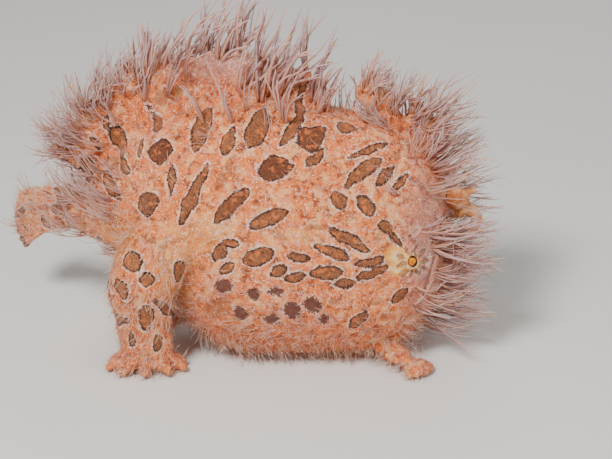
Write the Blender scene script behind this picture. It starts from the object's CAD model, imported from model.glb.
# A hairy frogfish, life size: one soft skin with its markings, its coat of threads, its eyes and its lure.
# Shapes are worked out in millimetres in the fish's own frame: +X forward, -Y its right, the floor at z = 0
import math
import bmesh
import bpy
import numpy as np
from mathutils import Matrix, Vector


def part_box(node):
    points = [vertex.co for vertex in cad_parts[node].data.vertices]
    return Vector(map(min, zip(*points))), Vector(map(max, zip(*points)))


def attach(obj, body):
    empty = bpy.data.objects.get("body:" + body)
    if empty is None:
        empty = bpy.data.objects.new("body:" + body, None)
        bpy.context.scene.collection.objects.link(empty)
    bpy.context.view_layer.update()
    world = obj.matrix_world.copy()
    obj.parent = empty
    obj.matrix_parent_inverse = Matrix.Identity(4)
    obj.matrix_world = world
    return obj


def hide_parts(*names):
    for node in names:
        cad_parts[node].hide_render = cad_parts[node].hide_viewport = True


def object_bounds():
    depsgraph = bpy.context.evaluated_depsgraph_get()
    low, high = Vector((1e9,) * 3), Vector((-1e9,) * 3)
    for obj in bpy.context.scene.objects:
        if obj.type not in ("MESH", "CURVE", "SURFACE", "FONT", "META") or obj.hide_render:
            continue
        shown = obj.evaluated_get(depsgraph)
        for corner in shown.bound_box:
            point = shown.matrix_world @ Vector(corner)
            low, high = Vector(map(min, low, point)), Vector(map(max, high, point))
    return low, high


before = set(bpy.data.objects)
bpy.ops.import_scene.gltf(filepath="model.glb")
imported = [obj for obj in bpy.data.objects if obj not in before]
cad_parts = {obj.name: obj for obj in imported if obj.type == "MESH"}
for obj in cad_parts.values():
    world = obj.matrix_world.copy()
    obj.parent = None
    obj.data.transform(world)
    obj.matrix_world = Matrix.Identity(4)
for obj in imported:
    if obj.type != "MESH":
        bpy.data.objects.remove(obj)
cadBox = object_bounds()
mm = 0.001
rng = np.random.default_rng(41)

# eyeMiddle: where the eyeballs' middles lie in the fish's own frame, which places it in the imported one
placing = dict(eyeMiddle=(38.85, 16.39, 29.94), boxRoom=0.01)
eyeAt = np.array(placing["eyeMiddle"])
eyeSpots = [(np.array(low) + np.array(high)) / 2 for low, high in (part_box("eye_r"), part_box("eye_l"))]
shift = (eyeSpots[0] + eyeSpots[1]) / 2 - eyeAt * (1, 0, 1) * mm
lowCorner, highCorner = ((np.array(corner) - shift) / mm for corner in cadBox)
room = (highCorner - lowCorner) * placing["boxRoom"]
print("frame loaded, shift in mm", np.round(shift / mm, 2))

# The view of the photograph: level with the fish's right side and looking down a little
viewPlan = dict(elevation=22, lens=100, sensor=36, distance=430, aim=(13.7, 0, 31.3), wide=612, high=459)
pixel = viewPlan["distance"] * viewPlan["sensor"] / viewPlan["lens"] / viewPlan["wide"]
tilt = math.radians(viewPlan["elevation"])
viewRight = np.array((1.0, 0, 0))
viewUp = np.array((0, math.sin(tilt), math.cos(tilt)))
viewAhead = np.array((0, math.cos(tilt), -math.sin(tilt)))
viewPlace = np.array(viewPlan["aim"]) - viewAhead * viewPlan["distance"]


def pixelsOf(points):
    # perspective: sideways and downward share of the distance ahead, times the lens in pixels
    away = points - viewPlace
    ahead = away @ viewAhead
    scale = viewPlan["lens"] / viewPlan["sensor"] * viewPlan["wide"]
    across = viewPlan["wide"] / 2 + away @ viewRight / ahead * scale
    down = viewPlan["high"] / 2 - away @ viewUp / ahead * scale
    return xyz(across, down), ahead


def addObject(name, data, place=None, way=None):
    # an object in the scene; a camera or a lamp also gets its place and the way that it looks
    made = bpy.data.objects.new(name, data)
    bpy.context.scene.collection.objects.link(made)
    if place is not None:
        made.location = Vector(place)
        made.rotation_mode = "QUATERNION"
        made.rotation_quaternion = Vector(way).to_track_quat("-Z", "Y")
    return made


lens = bpy.data.cameras.new("camera")
lens.lens = viewPlan["lens"]
lens.sensor_width = viewPlan["sensor"]
lens.clip_start = 0.01
bpy.context.scene.camera = addObject("camera", lens, viewPlace * mm + shift, viewAhead)


# Small helpers for numbers and arrays


def linear(code):
    # sRGB hex to linear: each channel is (c + 0.055) / 1.055 to the power 2.4, or c / 12.92 when dark
    parts = [int(code[i:i + 2], 16) / 255 for i in (1, 3, 5)]
    return tuple(c / 12.92 if c <= 0.04045 else ((c + 0.055) / 1.055) ** 2.4 for c in parts) + (1.0,)


def ease(low, high, value):
    # 0 below low, 1 above high and a smooth step between
    t = np.clip((value - low) / (high - low), 0, 1)
    return t * t * (3 - 2 * t)


def bell(value, width):
    # e to the power of minus the square of value over width
    return np.exp(-(value / width) ** 2)


def unit(vectors):
    # vectors over their own length
    return vectors / np.maximum(np.linalg.norm(vectors, axis=-1, keepdims=True), 1e-9)


def xyz(*parts):
    # arrays or numbers side by side as the last axis
    return np.stack(np.broadcast_arrays(*parts), axis=-1)


def dot(first, second):
    # row by row, as a column
    return np.einsum("ij,ij->i", first, second)[:, None]


def lattice(points, size, seed):
    # value noise from -1 to 1: random numbers on a grid of the given size, blended by smooth steps
    table = np.random.default_rng(seed).uniform(-1, 1, 4096)
    spot = points / size
    cell = np.floor(spot).astype(np.int64)
    share = spot - cell
    share = share * share * (3 - 2 * share)
    total = np.zeros(len(points))
    for corner in range(8):
        step = np.array((corner & 1, corner >> 1 & 1, corner >> 2 & 1))
        key = (cell + step) @ np.array((73856093, 19349663, 83492791))
        total += table[key % 4096] * np.prod(np.where(step == 1, share, 1 - share), axis=1)
    return total


def waver(points, size, seed):
    # three lattices side by side, which bend points about
    return xyz(*(lattice(points, size, seed + axis) for axis in range(3)))


def through(values, at):
    # smooth curve through evenly counted values, read at the counts in at
    values = np.asarray(values, dtype=float)
    last = len(values) - 1
    at = np.clip(np.asarray(at, dtype=float), 0, last)
    low = np.minimum(np.floor(at).astype(int), last - 1)
    t = at - low
    before, start = values[np.maximum(low - 1, 0)], values[low]
    end, after = values[low + 1], values[np.minimum(low + 2, last)]
    t = t[..., None] if values.ndim > 1 else t
    return ((2 * t ** 3 - 3 * t ** 2 + 1) * start + (t ** 3 - 2 * t ** 2 + t) * (end - before) / 2
            + (3 * t ** 2 - 2 * t ** 3) * end + (t ** 3 - t ** 2) * (after - start) / 2)


# Meshes from whole arrays


def rolled(rings, startPole, endPole):
    # closed surface through a grid of rings: two triangles a cell, and a fan to the pole at either end
    count, sides = rings.shape[:2]
    points = np.concatenate((rings.reshape(-1, 3), [startPole, endPole]))
    row, side = np.meshgrid(np.arange(count - 1), np.arange(sides), indexing="ij")
    a = (row * sides + side).ravel()
    b = (row * sides + (side + 1) % sides).ravel()
    cells = np.concatenate((xyz(a, b, b + sides), xyz(a, b + sides, a + sides)))
    ring = np.arange(sides)
    after = (ring + 1) % sides
    last = (count - 1) * sides
    startFan = xyz(after, ring, count * sides)
    endFan = xyz(ring + last, after + last, count * sides + 1)
    return points, np.concatenate((cells, startFan, endFan))


def joined(parts):
    # several surfaces as one list of points and one of triangles
    starts = np.cumsum([0] + [len(points) for points, _ in parts])
    return (np.concatenate([points for points, _ in parts]),
            np.concatenate([faces + start for (_, faces), start in zip(parts, starts)]))


def placePoints(mesh, points):
    # from millimetres in the fish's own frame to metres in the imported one
    mesh.vertices.foreach_set("co", (points * mm + shift).astype(np.float32).ravel())


def newMesh(name, points, faces):
    # smooth triangles from whole arrays
    mesh = bpy.data.meshes.new(name)
    mesh.vertices.add(len(points))
    placePoints(mesh, points)
    mesh.loops.add(faces.size)
    mesh.loops.foreach_set("vertex_index", faces.astype(np.int32).ravel())
    mesh.polygons.add(len(faces))
    mesh.polygons.foreach_set("loop_start", np.arange(0, faces.size, 3, dtype=np.int32))
    mesh.polygons.foreach_set("use_smooth", np.ones(len(faces), dtype=bool))
    mesh.update(calc_edges=True)
    return mesh


def newPiece(name, points, faces, material, values=None, uv=None):
    # a piece of the fish: its mesh, the attributes in values, and its patches of the unwrap
    mesh = newMesh(name, points, faces)
    if uv is not None:
        layer = mesh.uv_layers.new(name="OFBake")
        layer.uv.foreach_set("vector", uv[faces.ravel()].astype(np.float32).ravel())
    for label, numbers in (values or {}).items():
        kind, key = ("FLOAT_VECTOR", "vector") if numbers.ndim == 2 else ("FLOAT", "value")
        mesh.attributes.new(label, kind, "POINT").data.foreach_set(key, numbers.astype(np.float32).ravel())
    mesh.materials.append(material)
    made = addObject(name, mesh)
    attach(made, "root")
    return made


def melted(parts, voxel):
    # several closed lofts melted into one surface by a voxel remesh
    rough = newMesh("rough", *joined(parts))
    holder = addObject("rough", rough)
    melt = holder.modifiers.new("melt", "REMESH")
    melt.mode = "VOXEL"
    melt.voxel_size = voxel * mm
    mesh = bpy.data.meshes.new_from_object(holder.evaluated_get(bpy.context.evaluated_depsgraph_get()))
    bpy.data.objects.remove(holder)
    bpy.data.meshes.remove(rough)
    return mesh


def readMesh(mesh):
    # points in millimetres in the fish's own frame, triangles, edges and normals as arrays
    mesh.calc_loop_triangles()

    def read(rows, label, width, kind):
        numbers = np.empty(len(rows) * width, kind)
        rows.foreach_get(label, numbers)
        return numbers.reshape(-1, width)

    points = (read(mesh.vertices, "co", 3, np.float32).astype(float) - shift) / mm
    normals = read(mesh.vertex_normals, "vector", 3, np.float32).astype(float)
    triangles = read(mesh.loop_triangles, "vertices", 3, np.int32)
    return points, triangles, read(mesh.edges, "vertices", 2, np.int32), normals


def relaxed(points, edges, rounds, share=0.5):
    # each point moves by a share towards the mean of its neighbours, several times
    count = np.bincount(edges.ravel(), minlength=len(points))[:, None]
    for _ in range(rounds):
        total = np.stack([np.bincount(edges[:, 0], points[edges[:, 1], axis], len(points))
                          + np.bincount(edges[:, 1], points[edges[:, 0], axis], len(points))
                          for axis in range(3)], axis=1)
        points = points + (total / count - points) * share
    return points


def tube(path, halfSides, halfUps, across, sides=20, steps=26, startRound=0.6, endRound=0.9):
    # an elliptical profile carried along a smooth path, its ends rounded by a quarter circle
    counts = np.linspace(0, len(path) - 1, steps)
    centres = through(path, counts)
    ahead = unit(np.gradient(centres, axis=0))
    across = np.asarray(across, dtype=float)
    side = unit(across - ahead * (ahead @ across)[:, None])
    up = np.cross(ahead, side)
    run = np.concatenate(([0], np.cumsum(np.linalg.norm(np.diff(centres, axis=0), axis=1))))
    width, height = through(halfSides, counts), through(halfUps, counts)
    fromStart = np.clip(run / (height[0] * startRound), 0, 1)
    fromEnd = np.clip((run[-1] - run) / (height[-1] * endRound), 0, 1)
    startDome, endDome = (np.sqrt(np.clip(1 - (1 - t) ** 2, 0.02, 1)) for t in (fromStart, fromEnd))
    dome = startDome * endDome
    turn = np.arange(sides) * 2 * np.pi / sides
    rings = (centres[:, None] + (width * dome)[:, None, None] * np.cos(turn)[None, :, None] * side[:, None]
             + (height * dome)[:, None, None] * np.sin(turn)[None, :, None] * up[:, None])
    return rolled(rings, centres[0] - ahead[0] * 0.05, centres[-1] + ahead[-1] * 0.05)


# Body: rows of distance forward, sideways bend, underside, back and half width, from jaw to tail root
bodyPlan = dict(
    rows=((49.6, 0, 31, 31, 0), (48.8, 0, 20, 42, 8), (46.5, 0, 11.5, 49.5, 12.3), (42.5, 0, 5.5, 55, 15.8),
          (36.5, 0, 1.6, 58.8, 18.6), (28, 0, -0.4, 61.8, 20.6), (18, 0, -0.8, 64.2, 21.8),
          (7, 0, -0.8, 65.8, 22), (-4, 0.2, -0.4, 66, 21.3), (-14, 0.8, 5, 64.2, 19), (-23, 2, 14.5, 60, 15.6),
          (-31, 3.8, 21.5, 53.6, 11.8), (-38, 6, 25.5, 46.4, 8.4), (-44, 8.6, 27.4, 41, 5.6),
          (-48, 10.8, 27.6, 39.6, 4.2)),
    widestAt=0.44, fuller=0.86, coatDepth=0.4, belly=0.35, rings=150, sides=128)
skinPlan = dict(voxel=0.66, relax=4, lumps=((6.0, 0.35), (2.4, 0.22), (1.1, 0.12)), faceFrom=37.5,
                eyeReach=4.6)


def bodyRowsAt(forward):
    # the row of sizes at a distance forward, by its place along the rows
    counts = np.linspace(0, len(bodyPlan["rows"]) - 1, 600)
    places = np.interp(-np.asarray(forward, dtype=float), -through(bodyPlan["rows"], counts)[:, 0], counts)
    return through(bodyPlan["rows"], places)


def bodySurface():
    # rings of a fuller-bellied ellipse: y = bend + half cos, z = middle + height sin, the cosine and sine
    # taken to a power below the middle, all pressed inwards by the depth of the coat
    counts = np.linspace(0.04, len(bodyPlan["rows"]) - 1, bodyPlan["rings"])
    forward, bend, low, high, half = through(bodyPlan["rows"], counts).T[:, :, None]
    depth = np.minimum(bodyPlan["coatDepth"], half * 0.3)
    low, high, half = low + depth, high - depth, half - depth
    middle = low + (high - low) * bodyPlan["widestAt"]
    turn = np.arange(bodyPlan["sides"])[None, :] * 2 * np.pi / bodyPlan["sides"]
    cos, sin = np.cos(turn), np.sin(turn)
    power = np.where(sin < 0, bodyPlan["fuller"], 1.0)
    y = bend + half * np.sign(cos) * np.abs(cos) ** power
    reach = np.where(sin > 0, high - middle, middle - low)
    z = np.maximum(middle + reach * np.sign(sin) * np.abs(sin) ** power, bodyPlan["belly"])
    rings = xyz(forward, y, z)
    return rolled(rings[::-1], rings[-1].mean(axis=0), rings[0].mean(axis=0))


def beyondBody(points):
    # how far outside the body's own section a point lies, as a share of its size: 1 is on the body
    forward, bend, low, high, half = bodyRowsAt(points[:, 0]).T
    middle = low + (high - low) * bodyPlan["widestAt"]
    reach = np.where(points[:, 2] > middle, high - middle, middle - low)
    across, up = (points[:, 1] - bend) / np.maximum(half, 1), (points[:, 2] - middle) / np.maximum(reach, 1)
    return np.hypot(across, up)


# Fins: sheets with a ridge along each ray. Lengths in millimetres, leans in degrees
rayPlan = dict(crest=0.95, between=0.5, tipShare=0.66, width=0.24)
dorsalPlan = dict(front=17, back=-41, rays=12, keep=0.82, notch=0.12, least=8, arch=8.5, rear=4, lean=(12, 46))
analPlan = dict(front=-17.5, back=-32, rays=7, notch=0.14, least=5.5, arch=4.5, lean=(26, 18))
tailPlan = dict(rays=9, length=25, notch=0.10, yaw=(30, 12), fan=3, droop=9.5, bow=4.8, root=2.5,
                rootShare=0.3)
webPlan = dict(back=36.3, front=44.0, foot=55.0, top=63.0, sag=2.0, lean=(0.8, 1.9), rise=1.5)


def offRay(u, rays):
    # how near the middle of a ray: 1 on it, 0 from a ray's half width away
    place = u * (rays - 1)
    return np.clip(1 - np.abs(place - np.round(place)) / rayPlan["width"], 0, 1)


def scallop(u, plan):
    # the share of a ray's length that is kept between the rays
    place = u * (plan["rays"] - 1)
    return 1 - plan["notch"] * np.clip(np.abs(place - np.round(place)) / rayPlan["width"], 0, 1)


def finSurface(surface, rays, columns, rows, start=0.0, thick=None):
    # two faces over surface(u, v), moved apart by a half thickness that crests along each ray
    u, v = np.meshgrid(np.linspace(0, 1, columns), np.linspace(start, 1, rows), indexing="ij")
    points = surface(u, v)
    along = surface(np.minimum(u + 0.004, 1), v) - surface(np.maximum(u - 0.004, 0), v)
    normal = unit(np.cross(along, surface(u, v + 0.004) - surface(u, v - 0.004)))
    full = rayPlan["crest"] * (1 - (1 - rayPlan["tipShare"]) * np.clip(v, 0, 1))
    half = rayPlan["between"] + (full - rayPlan["between"]) * offRay(u, rays)
    half = thick(u, v, half) if thick else half
    top, bottom = points + normal * half[..., None], points - normal * half[..., None]
    loop = np.concatenate((top, bottom[:, ::-1]), axis=1)
    return rolled(loop, loop[0].mean(axis=0), loop[-1].mean(axis=0))


def dorsalSurface(u, v):
    # rays rise from the back and lean more and more towards the tail
    plan = dorsalPlan
    forward = plan["front"] + (plan["back"] - plan["front"]) * u
    rows = bodyRowsAt(forward)
    arch = plan["arch"] * np.sin(np.pi * np.clip(u * 0.75 + 0.12, 0, 1))
    length = (plan["least"] + arch + plan["rear"] * u ** 2) * plan["keep"] * scallop(u, plan)
    lean = math.radians(plan["lean"][0]) + math.radians(plan["lean"][1]) * u ** 1.4
    sway = 1.2 * np.sin(u * 9) * v ** 2
    return xyz(forward - length * v * np.sin(lean) - 1.5 * v ** 2 * u, rows[..., 1] + sway,
               rows[..., 3] + length * v * np.cos(lean))


def analSurface(u, v):
    # rays hang from the underside behind the vent and lean backwards
    plan = analPlan
    forward = plan["front"] + (plan["back"] - plan["front"]) * u
    rows = bodyRowsAt(forward)
    length = (plan["least"] + plan["arch"] * np.sin(np.pi * (u * 0.7 + 0.25))) * scallop(u, plan)
    lean = math.radians(plan["lean"][0]) + math.radians(plan["lean"][1]) * u
    return xyz(forward - length * v * np.sin(lean), rows[..., 1] + 0.5 * np.sin(u * 5) * v,
               rows[..., 2] - length * v * np.cos(lean))


def tailSurface(u, v):
    # a half closed fan of rays that droops and bends away from the right side
    plan = tailPlan
    forward, bend, low, high, _ = bodyPlan["rows"][-1]
    spread = (0.5 - u) * 2
    length = plan["length"] * (1 - 0.10 * spread ** 2) * scallop(u, plan)
    yaw = math.radians(plan["yaw"][0]) + math.radians(plan["yaw"][1]) * v
    return xyz(forward + 1.2 - length * v * np.cos(yaw) * (1 - 0.04 * spread ** 2),
               bend + length * v * np.sin(yaw) + 0.6 * np.sin(u * 11) * v,
               low + (high - low) * (0.93 - 0.86 * u) + v * (plan["fan"] * spread - plan["droop"])
               + plan["bow"] * v * (1 - v))


def tailThick(u, v, half):
    # as thick as the stalk at its root and a thin ribbed sheet from a third of its length on
    blend = np.clip(v / tailPlan["rootShare"], 0, 1)
    return tailPlan["root"] * np.sqrt(np.clip(1 - (2 * u - 1) ** 2 * 0.8, 0.1, 1)) * (1 - blend) + half * blend


def webSurface(u, v):
    # the thin skin that ties the second spine to the third, its upper edge sagging between them
    plan = webPlan
    forward = plan["back"] + (plan["front"] - plan["back"]) * u - v * (plan["lean"][0] + plan["lean"][1] * u)
    top = plan["top"] + plan["rise"] * u - plan["sag"] * np.sin(np.pi * u)
    return xyz(forward, 0.3 * np.sin(u * 7) * v, plan["foot"] + (top - plan["foot"]) * v)


# Limbs and spines: paths with half widths along them
armPlan = dict(path=((-17, 10, 36), (-22.5, 16.2, 32), (-26.5, 18.2, 24), (-26.6, 17.2, 15), (-26.2, 16.4, 8.6),
                     (-26.2, 16.5, 5), (-26.2, 16.7, 2.6)),
               alongX=(8, 8.6, 8.4, 7, 6.4, 7, 8), acrossY=(5, 5.8, 5.4, 4.6, 4.4, 4.5, 4.6), wristAt=4,
               fingers=7, firstFinger=-20, fingerFan=220, fingerWide=(2.1, 1.6, 1.0),
               fingerThick=(1.7, 1.5, 1.1),
               fingerStops=(((3.2, 1.8), 3.9), ((7.6, 4.4), 2.6), ((11, 6.8), 1.2)))
footPlan = dict(path=((30, 8, 6), (33.5, 12, 4.6), (36.8, 14.6, 3.2), (39.2, 16.4, 2.3)),
                wide=(2.6, 2.8, 3.2, 3.2), thick=(2, 2, 1.9, 1.7), toes=5, firstToe=8, toeFan=82,
                toeWide=(1.2, 1.1, 0.8), toeThick=(1.1, 1.0, 0.8))
spinePlan = dict(second=(((44.2, 0, 46.5), (44.6, 0, 56), (42.4, 0, 62), (39.6, 0, 66)), (2, 1.9, 1.4, 0.8)),
                 third=(((33, 0, 52), (33, 0, 61.5), (30, 0, 66.2), (25.6, 0, 68.6)), (4.6, 4.2, 3.4, 1.8)))


def armParts(side):
    # the arm with its wrist and palm in one tube, and fingers splayed round the palm
    plan = armPlan
    path = np.array(plan["path"], dtype=float) * (1, side, 1)
    parts = [tube(path, plan["alongX"], plan["acrossY"], (1, 0, 0), 40, 60)]
    wristX, wristY, _ = plan["path"][plan["wristAt"]]
    for number in range(plan["fingers"]):
        spread = math.radians(plan["firstFinger"] + plan["fingerFan"] * number / (plan["fingers"] - 1))
        aim = np.array((math.cos(spread), side * math.sin(spread)))
        wrist = np.array((wristX, side * wristY))
        stops = [np.append(wrist + aim * reach, height) for reach, height in plan["fingerStops"]]
        parts.append(tube(np.array(stops), plan["fingerWide"], plan["fingerThick"], (0, 0, 1), 14, 16))
    return parts


def footParts(side):
    # the small foot under the throat and its toes
    plan = footPlan
    path = np.array(plan["path"], dtype=float) * (1, side, 1)
    parts = [tube(path, plan["wide"], plan["thick"], (-0.5, side * 0.6, 0), 20, 20)]
    for number in range(plan["toes"]):
        turn = math.radians(plan["firstToe"] + plan["toeFan"] * number / (plan["toes"] - 1))
        ahead = np.array((math.cos(turn), side * math.sin(turn), 0))
        start = path[-1] + ahead * 0.5
        stops = np.array((start, start + ahead * 3.6 + (0, 0, -0.4), start + ahead * 6.4))
        stops[2, 2] = 1.0
        parts.append(tube(stops, plan["toeWide"], plan["toeThick"], (0, 0, 1), 12, 12))
    return parts


def oneSkin():
    # all the lofts melted into one surface, with the face split finer, and finer again round the eyes
    parts = [bodySurface(), finSurface(dorsalSurface, dorsalPlan["rays"], 130, 26, -0.2),
             finSurface(analSurface, analPlan["rays"], 60, 18, -0.25),
             finSurface(tailSurface, tailPlan["rays"], 90, 40, -0.06, tailThick),
             finSurface(webSurface, 3, 26, 18, -0.1)]
    parts += [tube(path, half, np.array(half) * 0.8, (1, 0, 0)) for path, half in spinePlan.values()]
    for side in (-1, 1):
        parts += armParts(side) + footParts(side)
    mesh = melted(parts, skinPlan["voxel"])
    shell = bmesh.new()
    shell.from_mesh(mesh)

    def inFace(spot):
        return spot.x > skinPlan["faceFrom"]

    def byEye(spot):
        middle = Vector((eyeAt[0], math.copysign(eyeAt[1], spot.y), eyeAt[2]))
        return (spot - middle).length < skinPlan["eyeReach"]

    for fits in (inFace, byEye):
        chosen = [edge for edge in shell.edges
                  if fits(((edge.verts[0].co + edge.verts[1].co) / 2 - Vector(shift)) / mm)]
        bmesh.ops.subdivide_edges(shell, edges=chosen, cuts=1, use_grid_fill=True)
    bmesh.ops.triangulate(shell, faces=shell.faces)
    shell.to_mesh(mesh)
    shell.free()
    return mesh


# Face: lips from the snout's top to the throat, two nostrils a side, a gill opening behind each arm, and lids.
# The lids' opening is a drop; its centre is off the ball's by millimetres ahead and up
mouthPlan = dict(top=(49, 0, 42), throat=(38, 0, 4), middleHeight=27, corner=-38, lip=0.3, lipWidth=0.6,
                 offset=1.0, groove=0.16, grooveWidth=0.35, from_=30)
nostrilPlan = dict(places=((43.3, 36.5), (44.6, 33.2)), radius=0.8, rimWidth=0.35, height=0.45, pit=0.5,
                   pitWidth=0.4)
gillPlan = dict(forward=-31, height=27, radius=1.3, rimWidth=0.6, rim=0.6, pit=1.2, pitWidth=0.8)
eyePlan = dict(radius=2.4, lidThick=0.28, opening=1.28, drop=0.34, dropTurn=0.6, centre=(-0.13, 0.36),
               sharp=0.12, sunk=0.9, lidReach=2.4, blend=3.4, irisScale=1.08)
lidOut = unit(np.array((0.42, -0.90, 0.02)))
lidUp = unit(np.array((0, 0, 1)) - lidOut * lidOut[2])
lidAhead = np.cross(lidUp, lidOut)


def shapeFace(points, normals):
    # lumps everywhere, then lips, nostrils and gill openings as smooth hills and pits along the normal
    for number, (size, height) in enumerate(skinPlan["lumps"]):
        calm = 1 - 0.6 * ease(3.0, 0.5, np.abs(points[:, 2]))
        points = points + normals * (lattice(points, size, 7 + number) * height * calm)[:, None]
    plan = mouthPlan
    top, throat = np.array(plan["top"], dtype=float), np.array(plan["throat"], dtype=float)
    upward = unit(top - throat)
    away = points - throat - (top - throat) * (plan["middleHeight"] - throat[2]) / (top[2] - throat[2])
    beyond = away @ np.array((upward[2], 0, -upward[0]))
    angle = np.degrees(np.arctan2(away @ upward, np.abs(away[:, 1])))
    inFace = points[:, 0] > plan["from_"]
    inMouth = ease(plan["corner"] - 4, plan["corner"] + 4, angle) * inFace
    lips = bell(np.abs(beyond) - plan["offset"], plan["lipWidth"]) * plan["lip"]
    hill = (lips - bell(beyond, plan["grooveWidth"]) * plan["groove"]) * inMouth
    points = points + normals * hill[:, None]
    plan = nostrilPlan
    for forward, height in plan["places"]:
        reach = np.hypot(points[:, 0] - forward, points[:, 2] - height) * np.where(points[:, 0] > 30, 1, 99)
        ring = bell(reach - plan["radius"], plan["rimWidth"]) * plan["height"]
        points = points + normals * (ring - bell(reach, plan["pitWidth"]) * plan["pit"])[:, None]
    plan = gillPlan
    reach = np.hypot(points[:, 0] - plan["forward"], points[:, 2] - plan["height"])
    ring = bell(reach - plan["radius"], plan["rimWidth"]) * plan["rim"]
    hill = (ring - bell(reach, plan["pitWidth"]) * plan["pit"]) * (np.abs(points[:, 1]) < 20)
    points = points + normals * hill[:, None]
    return points, np.where(inMouth > 0.3, np.abs(beyond), farOff)


def shapeLids(points):
    # over each eyeball the skin becomes a height over the eye's own plane: the ball's surface plus the lid's
    # thickness outside the drop-shaped opening, and below the ball's surface inside it. Also gives the reach
    # from the opening's centre as a share of the opening
    plan = eyePlan
    openness = np.full(len(points), 99.0)
    for side in (-1, 1):
        flip = np.array((1, -side, 1))
        away = (points - eyeAt * (1, side, 1)) * flip
        flat, height = xyz(away @ lidAhead, away @ lidUp), away @ lidOut
        reach = np.linalg.norm(flat, axis=1)
        near = (reach < plan["blend"]) & (height > -1.5)
        hole = flat - plan["centre"]
        gape = np.linalg.norm(hole, axis=1)
        drop = np.clip(-np.sin(np.arctan2(hole[:, 1], hole[:, 0]) - plan["dropTurn"]), 0, 1) ** 3
        opening = plan["opening"] * (1 + plan["drop"] * drop)
        ball = np.sqrt(np.clip(plan["radius"] ** 2 - reach ** 2, 0.05, None))
        edge = ease(opening - plan["sharp"], opening + plan["sharp"], gape)
        lid = ball + plan["lidThick"] * edge - plan["sunk"] * (1 - edge)
        share = ease(plan["blend"], plan["lidReach"] - 0.6, reach)
        moved = np.where(near, (lid - height) * share, 0.0)
        points = points + lidOut * moved[:, None] * flip
        openness = np.where(near, gape / opening, openness)
    return points, openness


farOff = 9.0
skinMesh = oneSkin()
skinPoints, skinFaces, skinEdges, _ = readMesh(skinMesh)


def takeUp(points):
    # the skin's mesh takes these points, and gives its new normals
    placePoints(skinMesh, points)
    skinMesh.update()
    return readMesh(skinMesh)[3]


skinPoints = relaxed(skinPoints, skinEdges, skinPlan["relax"])
skinPoints, mouthDistance = shapeFace(skinPoints, takeUp(skinPoints))
skinPoints, lidReach = shapeLids(skinPoints)
skinPoints[:, 2] = np.maximum(skinPoints[:, 2], 0.05)
skinNormals = takeUp(skinPoints)
bpy.data.meshes.remove(skinMesh)
print("skin shaped", len(skinPoints), "points", len(skinFaces), "triangles")


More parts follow.
